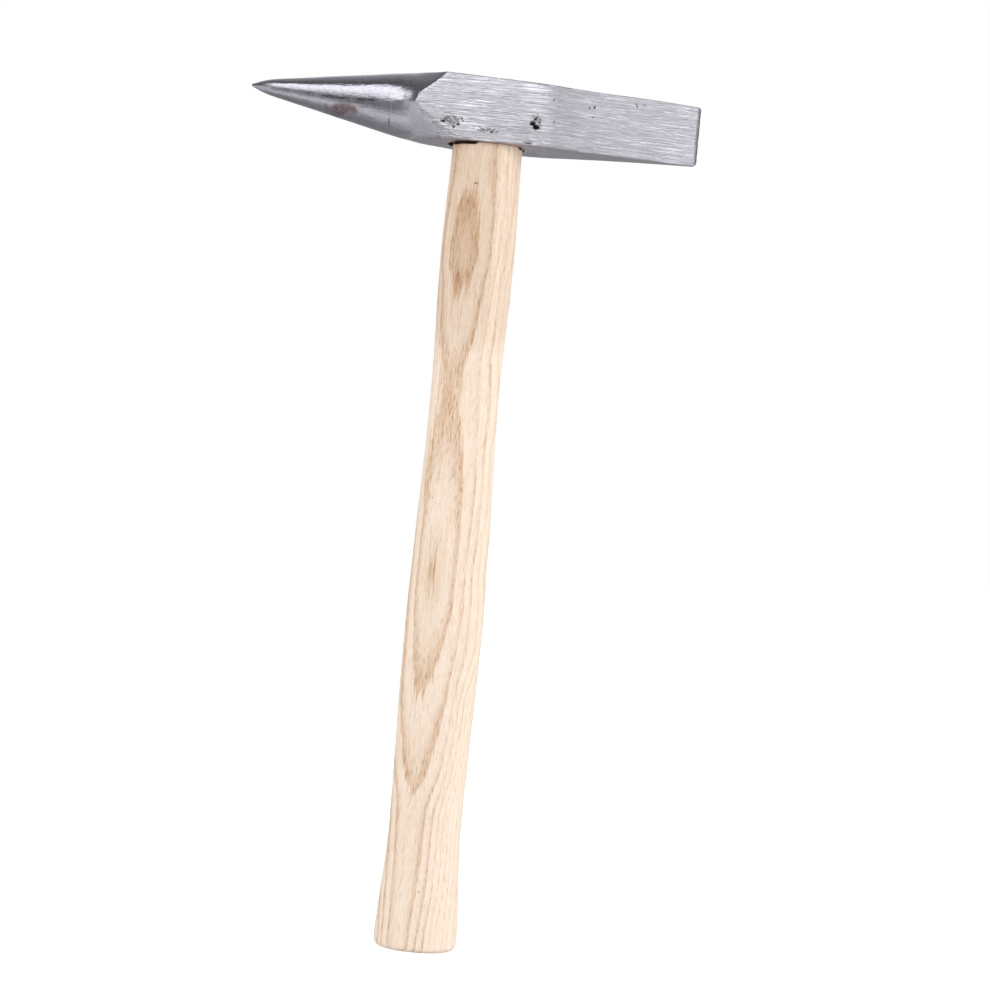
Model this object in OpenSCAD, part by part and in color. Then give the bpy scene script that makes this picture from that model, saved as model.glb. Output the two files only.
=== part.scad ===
// Chipping hammer for knocking slag off welds: a forged steel head with a hand-ground spike at one
// end and an upright chisel at the other, wedged on a straight ash handle.
// All sizes are in millimetres. The origin is the centre of the handle's flat butt. +Z runs up the
// handle to the head, +X points to the chisel's edge and the head's cheeks face +Y and -Y.

/* [Overall] */
// Length from the butt to the highest edge of the head
overall_l = 300; // [290:1:350]

/* [Head] */
// Height of the head at the eye
head_h = 22.5; // [22:0.1:25]
// Thickness of the head from cheek to cheek
head_t = 24.1; // [23.5:0.1:26]
// Fall of the top over the eye, from the spike towards the chisel, in degrees
top_fall = 1.7; // [0:0.1:2.5]
// Further fall of the top from the chisel's taper to its edge
edge_fall = 0.9; // [0:0.1:2]
// Distance from the handle's axis to the chisel's edge
chisel_reach = 72.2; // [66:0.1:84]
// Distance from the handle's axis to the start of the chisel's taper
taper_start = 18.4; // [17:0.1:24]
// Thickness left on the blunt chisel edge
edge_land = 1; // [0.6:0.1:2]

/* [Spike] */
// Distance from the handle's axis to the spike's tip
spike_reach = 83.3; // [82:0.1:96]
// Height of the tip above the underside of the head
tip_rise = 14.2; // [13:0.1:15]
// Upward tilt of the spike's axis, in degrees
spike_tilt = 2.7; // [1.5:0.1:4]
// Half of the angle of the spike's cone, in degrees
cone_half = 10.3; // [10:0.1:11]
// Half of the angle at which the spike opens out into the head, in degrees
flare_half = 25; // [22:1:32]

/* [Eye] */
// Length of the eye at its waist, along the head
eye_l = 24.2; // [23:0.1:25]
// Width of the eye at its waist
eye_w = 14.2; // [13:0.1:15]
// How much longer and wider the eye is at the top of the head
eye_flare_top = 1.8; // [1:0.1:2]
// How much longer and wider the eye is at the underside
eye_flare_under = 3.1; // [2:0.1:3.4]

/* [Handle] */
// Width of the flared butt
butt_w = 28.6; // [27:0.1:31]
// Width of the waist above the butt
low_waist_w = 25; // [24:0.1:27]
// Width of the belly that fills the palm
belly_w = 27; // [25:0.1:30]
// Width of the waist above the belly
high_waist_w = 23.5; // [23:0.1:25]
// Width of the swell below the head
swell_w = 25.3; // [24.8:0.1:27]
// Width of the shoulder against the head
shoulder_w = 24.3; // [24.3:0.1:26]
// Thickness of the handle at its butt, as a share of its width
flat_butt = 0.82; // [0.75:0.01:0.9]
// Thickness of the handle at its shoulder, as a share of its width
flat_top = 0.88; // [0.8:0.01:0.95]
// Rounding of the butt's edge
butt_round = 2; // [1:0.1:4]

/* [Wedges] */
// Thickness of the hardwood wedge at its top
wood_wedge_t = 3.6; // [2:0.1:4.5]
// Depth of the hardwood wedge
wood_wedge_h = 15; // [12:0.5:17]
// Thickness of the steel wedge at its top
steel_wedge_t = 2.4; // [1.5:0.1:3]
// Depth of the steel wedge
steel_wedge_h = 11; // [8:0.5:13]

/* [Hidden] */
$fn = 64;

underside_z = overall_l - head_h;
shoulder_x = -15.5;              // the spike's end of the full-height part of the head
bar_end = -spike_reach - 5;      // the head's bar is drawn past the tip, then cut by the spike
bar_half = 20;                   // half width of the blocks that the head is cut from

edge_r_top = 0.9;                // corners of the chisel's edge
edge_r_under = 1.5;
taper_hollow = [0.36, 0.44];     // the taper's control point: share of its length, of its thickness

tip_flat_r = 0.35;
nose_l = 8.2;                    // the steeper stretch next to the tip
nose_r = 3.1;
cone_end = 57.7;                 // distance from the tip to the end of the plain cone
cone_end_r = nose_r + (cone_end - nose_l) * tan(cone_half);
flare_r = 8;                     // hollow between the cone and the steeper flare
flare_z = cone_end + flare_r * (sin(flare_half) - sin(cone_half));
flare_end_r = cone_end_r + flare_r * (cos(cone_half) - cos(flare_half));
clear_r = 24;                    // radius that clears the bar's corners
curve_steps = 8;

eye_c = (eye_l - eye_w) / 2;     // centres of the eye's round ends
waist_z = underside_z + head_h / 2;
eye_over = 1;                    // how far the eye's cutter runs past the head

tenon_proud = 0.3;
tenon_top = overall_l + tenon_proud;
ring_pts = 40;
// Shape of the handle's section: 2 is an ellipse, and more is squarer
power_butt = 2.15;
power_top = 2.8;
ring_gap = 10.5;
// Height and width of each waist and swell of the handle
stations = [
  [butt_round + 1.6, butt_w],
  [underside_z * 0.145, low_waist_w],
  [underside_z * 0.4, belly_w],
  [underside_z * 0.684, high_waist_w],
  [underside_z * 0.872, swell_w],
  [underside_z, shoulder_w]
];

kerf_w = 0.8;
kerf_depth = 19;
wedge_l = eye_l - 0.8;           // the hardwood wedge stays clear of the eye's walls
steel_wedge_w = 11.5;
steel_wedge_tip = 0.5;
steel_skew = 7;                  // the steel wedge is driven a little askew, in degrees
barbs = 4;
barb_depth = 0.2;

// Points along an arc, from angle a0 to a1, round centre c
function arc(c, r, a0, a1, n) =
  [for (i = [0:n]) let (a = a0 + (a1 - a0) * i / n) c + r * [cos(a), sin(a)]];

// Points along a curve from a to c that leaves and arrives along the lines through b
function bend(a, b, c, n) =
  [for (i = [0:n]) let (t = i / n) (1 - t) ^ 2 * a + 2 * t * (1 - t) * b + t ^ 2 * c];

function top_at(x) = overall_l - (x - shoulder_x) * tan(top_fall);
edge_top = top_at(taper_start) - edge_fall;

// Outline of the head seen from the side
function side_outline() = concat(
  [[bar_end, underside_z]],
  arc([chisel_reach - edge_r_under, underside_z + edge_r_under], edge_r_under, -90, 0, 6),
  arc([chisel_reach - edge_r_top, edge_top - edge_r_top], edge_r_top, 0, 90, 6),
  bend(
    [chisel_reach - 2 * edge_r_top, edge_top],
    [(taper_start + chisel_reach) / 2, edge_top + edge_fall],
    [taper_start, top_at(taper_start)],
    curve_steps
  ),
  [[bar_end, top_at(bar_end)]]
);

// One side of the head seen from above: the flat cheek, then the hollow taper to the edge
function cheek_line() =
  let (run = chisel_reach - taper_start, half = head_t / 2)
  concat(
    [[bar_end, half]],
    bend(
      [taper_start, half],
      [taper_start + run * taper_hollow[0], half * taper_hollow[1]],
      [chisel_reach, edge_land / 2],
      curve_steps
    )
  );

function mirrored(pts) = [for (i = [len(pts) - 1:-1:0]) [pts[i][0], -pts[i][1]]];

// Radius of the spike against the distance from its tip: nose, cone and the flare that opens it out
function spike_outline() = concat(
  [[0, 0]],
  bend(
    [tip_flat_r, 0],
    [nose_r - nose_l / 2 * tan(cone_half), nose_l / 2],
    [nose_r, nose_l],
    curve_steps
  ),
  [
    for (i = [0:curve_steps])
      let (a = cone_half + (flare_half - cone_half) * i / curve_steps)
      [
        cone_end_r + flare_r * (cos(cone_half) - cos(a)),
        cone_end + flare_r * (sin(a) - sin(cone_half))
      ]
  ],
  [
    [clear_r, flare_z + (clear_r - flare_end_r) / tan(flare_half)],
    [clear_r, spike_reach + 2 * chisel_reach],
    [0, spike_reach + 2 * chisel_reach]
  ]
);

// Half of the eye's flare: a tapered slot from its waist to one face of the head
module eye_half(depth, widen) {
  slope = widen / 2 / depth;
  h = depth + eye_over;
  r0 = eye_w / 2;
  r1 = r0 + slope * h;
  for (x = [-eye_c, eye_c])
    translate([x, 0, 0])
      cylinder(h = h, r1 = r0, r2 = r1);
  translate([eye_c, 0, 0])
    rotate([0, -90, 0])
      linear_extrude(2 * eye_c)
        polygon([[0, -r0], [h, -r1], [h, r1], [0, r0]]);
}

module eye() {
  translate([0, 0, waist_z]) {
    eye_half(head_h / 2, eye_flare_top);
    mirror([0, 0, 1])
      eye_half(head_h / 2, eye_flare_under);
  }
}

module spike_envelope() {
  translate([-spike_reach, 0, underside_z + tip_rise])
    rotate([0, 90 + spike_tilt, 0])
      rotate_extrude()
        polygon(spike_outline());
}

module head() {
  color("silver")
    difference() {
      intersection() {
        translate([0, bar_half, 0])
          rotate([90, 0, 0])
            linear_extrude(2 * bar_half)
              polygon(side_outline());
        translate([0, 0, underside_z - bar_half])
          linear_extrude(3 * bar_half)
            polygon(concat(cheek_line(), mirrored(cheek_line())));
        spike_envelope();
      }
      eye();
    }
}

function ease(t) = t * t * (3 - 2 * t);

// Width of the handle at height z, easing from one station to the next
function width_at(z, i = 0) =
  z <= stations[0][0] ? stations[0][1] :
  i >= len(stations) - 1 ? stations[i][1] :
  z > stations[i + 1][0] ? width_at(z, i + 1) :
  let (a = stations[i], b = stations[i + 1])
  a[1] + (b[1] - a[1]) * ease((z - a[0]) / (b[0] - a[0]));

function signed_pow(v, e) = sign(v) * pow(abs(v), e);

// Value that goes evenly from the butt to the shoulder
function along(z, butt, shoulder) = butt + (shoulder - butt) * z / underside_z;

// A ring of points at height z: the handle's rounded section, inset from its full size
function grip_ring(z, inset = 0) =
  let (
    a = width_at(z) / 2 - inset,
    b = width_at(z) * along(z, flat_butt, flat_top) / 2 - inset,
    e = 2 / along(z, power_butt, power_top)
  )
  [
    for (i = [0:ring_pts - 1])
      let (t = 360 * i / ring_pts)
      [a * signed_pow(cos(t), e), b * signed_pow(sin(t), e), z]
  ];

// A ring of points at height z: a slot shape with round ends, like the eye's
function tenon_ring(z, half_w) = [
  for (i = [0:ring_pts - 1])
    let (t = 360 * i / ring_pts)
    [sign(round(cos(t) * 1000)) * eye_c + half_w * cos(t), half_w * sin(t), z]
];

butt_rings = [
  for (i = [0:3])
    let (a = 90 * i / 4)
    grip_ring(butt_round * (1 - cos(a)), butt_round * (1 - sin(a)))
];
grip_steps = ceil((underside_z - butt_round) / ring_gap);
grip_rings = [
  for (i = [0:grip_steps])
    grip_ring(butt_round + (underside_z - butt_round) * i / grip_steps)
];
tenon_rings = [
  tenon_ring(underside_z, eye_w / 2),
  tenon_ring(waist_z, eye_w / 2),
  tenon_ring(tenon_top, (eye_w + eye_flare_top * (tenon_top - waist_z) / (head_h / 2)) / 2)
];

// A closed solid through rings that all have the same number of points
module skin(rings) {
  n = len(rings[0]);
  last = len(rings) - 1;
  polyhedron(
    points = [for (ring = rings, p = ring) p],
    faces = concat(
      [[for (j = [0:n - 1]) j]],
      [
        for (i = [0:last - 1], j = [0:n - 1], side = [0, 1])
          let (a = i * n + j, b = i * n + (j + 1) % n)
          side == 0 ? [a, a + n, b] : [b, a + n, b + n]
      ],
      [[for (j = [n - 1:-1:0]) last * n + j]]
    )
  );
}

// The hardwood wedge's section, driven into the kerf
wood_wedge_outline = [
  [-kerf_w / 2, tenon_top - wood_wedge_h],
  [kerf_w / 2, tenon_top - wood_wedge_h],
  [wood_wedge_t / 2, tenon_top],
  [-wood_wedge_t / 2, tenon_top]
];

// Draws a profile of [across, height] points as a bar along X
module bar_along_x(length, pts) {
  translate([-length / 2, 0, 0])
    rotate([90, 0, 90])
      linear_extrude(length)
        polygon(pts);
}

// The slot that the steel wedge cuts across the tenon and the hardwood wedge
module steel_slot() {
  rotate([0, 0, 90 + steel_skew])
    bar_along_x(steel_wedge_w, [
      [-steel_wedge_tip / 2, tenon_top - steel_wedge_h],
      [steel_wedge_tip / 2, tenon_top - steel_wedge_h],
      [steel_wedge_t / 2, tenon_top],
      [-steel_wedge_t / 2, tenon_top]
    ]);
}

module handle() {
  color("wheat")
    difference() {
      skin(concat(butt_rings, grip_rings, tenon_rings));
      bar_along_x(2 * eye_l, concat(
        [[-kerf_w / 2, tenon_top - kerf_depth], [kerf_w / 2, tenon_top - kerf_depth]],
        [wood_wedge_outline[1], wood_wedge_outline[2], wood_wedge_outline[3], wood_wedge_outline[0]]
      ));
      steel_slot();
    }
}

module wood_wedge() {
  color("tan")
    difference() {
      bar_along_x(wedge_l, wood_wedge_outline);
      steel_slot();
    }
}

// One side of the steel wedge, from its tip up: each barb steps in, so that it holds in the wood
function barbed_side(side) = [
  for (i = [0:barbs - 1], step = [0, 1])
    let (
      t = (i + step) / barbs,
      half = (steel_wedge_tip + (steel_wedge_t - steel_wedge_tip) * t) / 2
    )
    [side * (step == 0 ? half - min(barb_depth, half / 2) : half), tenon_top - steel_wedge_h * (1 - t)]
];

module steel_wedge() {
  right = barbed_side(1);
  left = barbed_side(-1);
  color("dimgray")
    rotate([0, 0, 90 + steel_skew])
      bar_along_x(steel_wedge_w, concat(right, [for (i = [len(left) - 1:-1:0]) left[i]]));
}

head();
handle();
wood_wedge();
steel_wedge();
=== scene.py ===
"""Chipping hammer: a hand-ground steel head with a spike and an upright chisel, wedged on an ash handle.

Lengths in the shape code are millimetres in the CAD frame: +Z up the handle from its butt, +X to the
chisel's edge, -Y the cheek that the camera sees. to_mesh() turns them into metres.
"""

from math import cos, pi, radians, sin, sqrt, tan

import bpy
import numpy as np
from mathutils import Matrix, Vector, noise


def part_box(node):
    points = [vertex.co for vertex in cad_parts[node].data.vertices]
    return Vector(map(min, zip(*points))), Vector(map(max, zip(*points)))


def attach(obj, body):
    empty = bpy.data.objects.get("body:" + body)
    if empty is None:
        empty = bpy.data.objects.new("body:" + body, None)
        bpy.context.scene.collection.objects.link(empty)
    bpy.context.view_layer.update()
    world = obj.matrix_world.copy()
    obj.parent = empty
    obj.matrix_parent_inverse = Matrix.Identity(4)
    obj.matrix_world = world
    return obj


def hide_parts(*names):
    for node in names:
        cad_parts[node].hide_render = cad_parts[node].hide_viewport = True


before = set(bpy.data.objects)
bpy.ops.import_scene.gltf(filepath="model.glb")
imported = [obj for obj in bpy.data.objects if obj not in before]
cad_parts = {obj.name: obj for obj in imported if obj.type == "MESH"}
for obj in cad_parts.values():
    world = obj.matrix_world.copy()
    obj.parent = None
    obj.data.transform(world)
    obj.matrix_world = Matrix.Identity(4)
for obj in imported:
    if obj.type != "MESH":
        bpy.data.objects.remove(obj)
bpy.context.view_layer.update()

MM = 0.001
head_lo, head_hi = [np.array(c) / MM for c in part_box("head")]

# From the CAD, in mm
TIP_X, EDGE_X = head_lo[0], head_hi[0]
UNDER = head_lo[2]
HALF_T = head_hi[1]
TENON_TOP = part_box("handle")[1][2] / MM


# ---------------- small tools


def bend(a, b, c, n=40):
    """Points from a to c that leave and arrive along the lines through b."""
    t = np.linspace(0, 1, n)[:, None]
    return (1 - t) ** 2 * np.array(a) + 2 * t * (1 - t) * np.array(b) + t**2 * np.array(c)


def smooth_step(x, a, b):
    """0 at a and 1 at b, with no corner at either."""
    t = np.clip((np.asarray(x, float) - a) / (b - a), 0, 1)
    return t * t * (3 - 2 * t)


def smooth_min(a, b, k):
    """The smaller of a and b, with the corner between them rounded over about k."""
    h = np.clip(0.5 + 0.5 * (b - a) / k, 0, 1)
    return b * (1 - h) + a * h - k * h * (1 - h)


def through(points, x):
    """A smooth curve through given (x, value) points, with no overshoot between them."""
    px, pv = np.array(points, float).T
    step = np.diff(pv) / np.diff(px)
    slope = np.zeros(len(px))
    same = step[:-1] * step[1:] > 0
    slope[1:-1][same] = 2 * step[:-1][same] * step[1:][same] / (step[:-1] + step[1:])[same]
    x = np.clip(x, px[0], px[-1])
    i = np.clip(np.searchsorted(px, x) - 1, 0, len(px) - 2)
    h = px[i + 1] - px[i]
    t = (x - px[i]) / h
    return (
        (2 * t**3 - 3 * t**2 + 1) * pv[i]
        + (t**3 - 2 * t**2 + t) * h * slope[i]
        + (3 * t**2 - 2 * t**3) * pv[i + 1]
        + (t**3 - t**2) * h * slope[i + 1]
    )


def spot(points, x, z, half_x, half_z):
    """How far each point is from a spot, as seen from the front: 0 at its middle and 1 on its outline."""
    return np.hypot((points[:, 0] - x) / half_x, (points[:, 2] - z) / half_z)


def zones(points, spots, outer, inner):
    """How much of the spots there is at each point of the front: all of it within inner, none past outer."""
    much = np.zeros(len(points))
    for *where, most in spots:
        much = np.maximum(much, most * smooth_step(spot(points, *where), outer, inner))
    return much * (points[:, 1] < 0)


def wobble(points, scale, seed):
    """Smooth noise in -1..1 at each point; scale is the size of its lumps in mm along each axis."""
    q = points / np.array(scale, float) + seed * 17.3
    return np.array([noise.noise(Vector(p)) for p in q])


def show(name, data):
    """A new object in the scene."""
    obj = bpy.data.objects.new(name, data)
    bpy.context.scene.collection.objects.link(obj)
    return obj


def to_mesh(name, points, faces, materials):
    """A smooth-shaded object from points in mm and faces."""
    mesh = bpy.data.meshes.new(name)
    mesh.from_pydata((np.asarray(points) * MM).tolist(), [], faces)
    mesh.validate()
    mesh.shade_smooth()
    for m in materials:
        mesh.materials.append(m)
    return show(name, mesh)


def per_vertex(mesh, what):
    """The "co" in metres or the "normal" of each vertex."""
    out = np.empty(len(mesh.vertices) * 3, np.float32)
    mesh.vertices.foreach_get(what, out)
    return out.reshape(-1, 3).astype(float)


def set_points(mesh, points):
    mesh.vertices.foreach_set("co", (points * MM).astype(np.float32).ravel())
    mesh.update()


def set_values(mesh, **values):
    """Numbers per vertex that a material reads by their names."""
    for name, numbers in values.items():
        layer = mesh.attributes.new(name, "FLOAT", "POINT")
        layer.data.foreach_set("value", np.asarray(numbers, np.float32))


def loops_to_faces(count, n):
    """Quads between rings of n points that follow each other."""
    faces = []
    for i in range(count - 1):
        a, b = i * n, (i + 1) * n
        faces += [(a + j, a + (j + 1) % n, b + (j + 1) % n, b + j) for j in range(n)]
    return faces


def closed_faces(count, n):
    """The same, with a face over each end."""
    last = (count - 1) * n
    return loops_to_faces(count, n) + [tuple(range(n))[::-1], tuple(last + j for j in range(n))]


def loft(name, loops, materials):
    """A closed solid through loops that all have the same number of points."""
    return to_mesh(name, np.concatenate(loops), closed_faces(len(loops), len(loops[0])), materials)


def cut(obj, cutter):
    """Takes cutter away from obj and deletes it."""
    mod = obj.modifiers.new("cut", "BOOLEAN")
    mod.operation = "DIFFERENCE"
    mod.solver = "EXACT"
    mod.object = cutter
    graph = bpy.context.evaluated_depsgraph_get()
    mesh = bpy.data.meshes.new_from_object(
        obj.evaluated_get(graph), preserve_all_data_layers=True, depsgraph=graph
    )
    obj.modifiers.clear()
    obj.data = mesh
    bpy.data.objects.remove(cutter)


def sharpen(obj, degrees):
    """Keeps edges steeper than this crisp, in a mesh that is smooth elsewhere."""
    obj.data.shade_smooth()
    obj.data.set_sharp_from_angle(angle=radians(degrees))


# ---------------- node trees


class Tree:
    """Short names for building a node tree."""

    def __init__(self, owner):
        owner.use_nodes = True
        self.tree = owner.node_tree

    def add(self, kind, *inputs, **settings):
        """A node with its first inputs and its settings."""
        node = self.tree.nodes.new("ShaderNode" + kind)
        for key, value in settings.items():
            setattr(node, key, value)
        for socket, value in zip(node.inputs, inputs):
            self.put(socket, value)
        return node

    def put(self, socket, value):
        """Links another node's output into the socket, or sets the socket to a number or a colour."""
        if hasattr(value, "is_output"):
            self.tree.links.new(value, socket)
        elif isinstance(value, tuple) and len(value) == 3 and socket.type == "RGBA":
            socket.default_value = (*value, 1)
        else:
            socket.default_value = value

    def math(self, op, a, b):
        return self.add("Math", a, b, operation=op).outputs[0]

    def times(self, a, b):
        return self.math("MULTIPLY", a, b)

    def plus(self, a, b):
        return self.math("ADD", a, b)

    def ramp(self, value, a, b, low=0, high=1, kind="LINEAR"):
        """A climb from low at a to high at b, level outside them."""
        return self.add("MapRange", value, a, b, low, high, interpolation_type=kind).outputs[0]

    def steps(self, value, stops, tint=(1, 1, 1)):
        """A curve through (position, brightness) stops of one tint."""
        node = self.add("ValToRGB", value)
        elements = node.color_ramp.elements
        while len(elements) < len(stops):
            elements.new(0.5)
        for element, (at, level) in zip(elements, stops):
            element.position = at
            element.color = (*(level * c for c in tint), 1)
        return node.outputs[0]

    def mix(self, amount, a, b, blend="MIX"):
        node = self.add("Mix", data_type="RGBA", blend_type=blend)
        self.put(node.inputs[0], amount)
        self.put(node.inputs[6], a)
        self.put(node.inputs[7], b)
        return node.outputs[2]

    def blend(self, amount, a, b):
        node = self.add("Mix", data_type="FLOAT")
        self.put(node.inputs[0], amount)
        self.put(node.inputs[2], a)
        self.put(node.inputs[3], b)
        return node.outputs[0]


class Material(Tree):
    """A Principled material; place is where its noise looks, in metres on the object."""

    def __init__(self, name):
        self.material = bpy.data.materials.new(name)
        super().__init__(self.material)
        self.shader = self.tree.nodes["Principled BSDF"]
        self.place = self.add("TexCoord").outputs["Object"]

    def set(self, socket, value):
        self.put(self.shader.inputs[socket], value)

    def value(self, name):
        """A number that the mesh holds per vertex."""
        return self.add("Attribute", attribute_name=name).outputs["Fac"]

    def scaled(self, scale):
        """Place on the object, stretched by scale along each axis."""
        node = self.add("Mapping", self.place)
        node.inputs["Scale"].default_value = scale
        return node.outputs[0]

    def noise(self, scale, detail, roughness):
        node = self.add("TexNoise", self.scaled(scale))
        for name, number in (("Scale", 1), ("Detail", detail), ("Roughness", roughness)):
            node.inputs[name].default_value = number
        return node.outputs["Fac"]

    def bump(self, *layers):
        """Relief from (height, depth in metres) pairs, coarse first."""
        normal = None
        for height, depth in layers:
            node = self.add("Bump")
            node.inputs["Strength"].default_value = 1
            node.inputs["Distance"].default_value = depth
            self.put(node.inputs["Height"], height)
            if normal is not None:
                self.put(node.inputs["Normal"], normal)
            normal = node.outputs[0]
        self.set("Normal", normal)


# ---------------- camera, light and floor

CAMERA_AT = Vector((13.55, -702.5, 158.05)) * MM
CAMERA_ROLL = radians(5.35)
CAMERA_LENS, SENSOR_WIDTH = 73.82, 36
# How near and how far it sees, in metres
NEAREST, FARTHEST = 0.05, 50


def make_camera():
    data = bpy.data.cameras.new("camera")
    data.lens = CAMERA_LENS
    data.sensor_width = SENSOR_WIDTH
    data.clip_start = NEAREST
    data.clip_end = FARTHEST
    cam = show("camera", data)
    side = Vector((cos(CAMERA_ROLL), 0, sin(CAMERA_ROLL)))
    up = Vector((-sin(CAMERA_ROLL), 0, cos(CAMERA_ROLL)))
    back = side.cross(up)
    turn = Matrix((side, up, back)).transposed().to_4x4()
    cam.matrix_world = Matrix.Translation(CAMERA_AT) @ turn
    bpy.context.scene.camera = cam


# Softboxes that light the wood from its sides and back, in metres: name, azimuth and elevation in degrees,
# width, height and radiance. Azimuth 0 is in front of the hammer and 90 is past its chisel.
SOFTBOXES = (
    ("right_fill", 72, 10, 1.3, 1.8, 3.4),
    ("left_fill", -72, 10, 1.3, 1.8, 2.35),
    ("back_fill", 180, 30, 1.8, 1.4, 1.1),
)
SOFTBOX_AIM = Vector((0, 0, 0.15))
SOFTBOX_DISTANCE = 1.6


def make_lights():
    """The softboxes; the steel doesn't mirror them."""
    for name, azimuth, elevation, width, height, radiance in SOFTBOXES:
        a, e = radians(azimuth), radians(elevation)
        away = Vector((sin(a) * cos(e), -cos(a) * cos(e), sin(e)))
        data = bpy.data.lights.new(name, "AREA")
        data.shape = "RECTANGLE"
        data.size, data.size_y = width, height
        data.energy = radiance * pi * width * height
        lamp = show(name, data)
        lamp.location = SOFTBOX_AIM + away * SOFTBOX_DISTANCE
        lamp.rotation_euler = away.to_track_quat("Z", "Y").to_euler()
        lamp.visible_glossy = False


# The studio around the hammer, as brightness over the angle round the X axis in degrees: 0 is straight in
# front, 90 is overhead, 180 is behind and -90 is straight down. A large softbox fills 2 to 58.
STUDIO = (
    (-180, 0.42), (-165, 0.36), (-140, 0.33), (-108, 0.33), (-92, 0.42), (-77, 0.60), (-60, 0.96),
    (-50, 0.98), (-42, 0.66), (-34, 0.38), (-27, 0.26), (-10, 0.25), (-3, 0.38), (2, 0.78), (12, 1.45),
    (22, 1.85), (34, 2.05), (54, 2.05), (58, 0.60), (61, 0.18), (66, 0.15), (80, 0.16), (92, 0.28),
    (110, 0.40), (128, 0.46), (140, 0.80), (165, 0.85), (176, 0.50), (180, 0.42),
)
# Its two side walls, as brightness over the height of the direction: dark above and light below.
SIDE_WALLS = (
    (-1, 0.46), (-0.7, 0.72), (-0.35, 0.90), (-0.06, 0.72), (0.1, 0.32), (0.3, 0.19), (0.8, 0.19), (1, 0.25),
)
# The walls fade in where the direction's X, to either side, is between these
WALL_FROM, WALL_TO = 0.42, 0.64
STUDIO_TINT = (1, 0.987, 1.035)


def make_world():
    """White where the camera looks past the object, and the studio for light and reflections."""
    world = bpy.data.worlds.new("studio")
    bpy.context.scene.world = world
    n = Tree(world)
    n.tree.nodes.clear()

    def curve(value, low, high, points):
        stops = [((at - low) / (high - low), level) for at, level in points]
        return n.steps(n.ramp(value, low, high), stops, STUDIO_TINT)

    x, y, z = n.add("SeparateXYZ", n.add("TexCoord").outputs["Generated"]).outputs
    angle = n.math("ARCTAN2", z, n.times(y, -1))
    around = curve(n.times(angle, 180 / pi), -180, 180, STUDIO)
    walls = curve(z, -1, 1, SIDE_WALLS)
    aside = n.ramp(n.math("ABSOLUTE", x, 0), WALL_FROM, WALL_TO, kind="SMOOTHSTEP")
    room = n.add("Background", n.mix(aside, around, walls)).outputs[0]
    white = n.add("Background", (1, 1, 1)).outputs[0]
    seen = n.add("LightPath").outputs["Is Camera Ray"]
    n.add("OutputWorld", n.add("MixShader", seen, room, white).outputs[0])


FLOOR_RADIUS, FLOOR_SIDES = 6, 96


def make_floor(material):
    """A disc in metres that the camera sees and that neither lights the hammer nor shows in it."""
    angles = [2 * pi * i / FLOOR_SIDES for i in range(FLOOR_SIDES)]
    ring = [(FLOOR_RADIUS * cos(a), FLOOR_RADIUS * sin(a), 0) for a in angles]
    mesh = bpy.data.meshes.new("floor")
    mesh.from_pydata(ring, [], [tuple(range(FLOOR_SIDES))])
    mesh.materials.append(material)
    floor = show("floor", mesh)
    floor.visible_glossy = False
    floor.visible_diffuse = False


# ---------------- materials


# The steel's colours: on the cheeks, on the spike, and where it is stained or pitted; the mark colour also
# paints shade along the chisel's edge
CHEEK_DARK, CHEEK_LIGHT, CHEEK_FINE = (0.40, 0.397, 0.411), (0.60, 0.594, 0.609), (0.70, 0.69, 0.72)
CHEEK_STREAK, CHEEK_SCRATCH, CHEEK_DULL = (0.95, 0.94, 0.965), (0.22, 0.215, 0.23), (0.44, 0.435, 0.455)
CHISEL_LIGHT = (0.78, 0.775, 0.81)
SPIKE_DARK, SPIKE_LIGHT, SPIKE_GRIT = (0.455, 0.446, 0.483), (0.545, 0.536, 0.573), (0.30, 0.295, 0.31)
RUST, MARK_AND_EDGE_SHADE, FLAKE = (0.15, 0.088, 0.082), (0.05, 0.045, 0.05), (0.92, 0.89, 0.88)
SPECK, PIT = (0.045, 0.04, 0.04), (0.025, 0.023, 0.025)
# Between these, in metres along the head, the cheek turns to the chisel's lighter colour
LIGHTER_FROM, LIGHTEST_FROM = 0.013, 0.024


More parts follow.
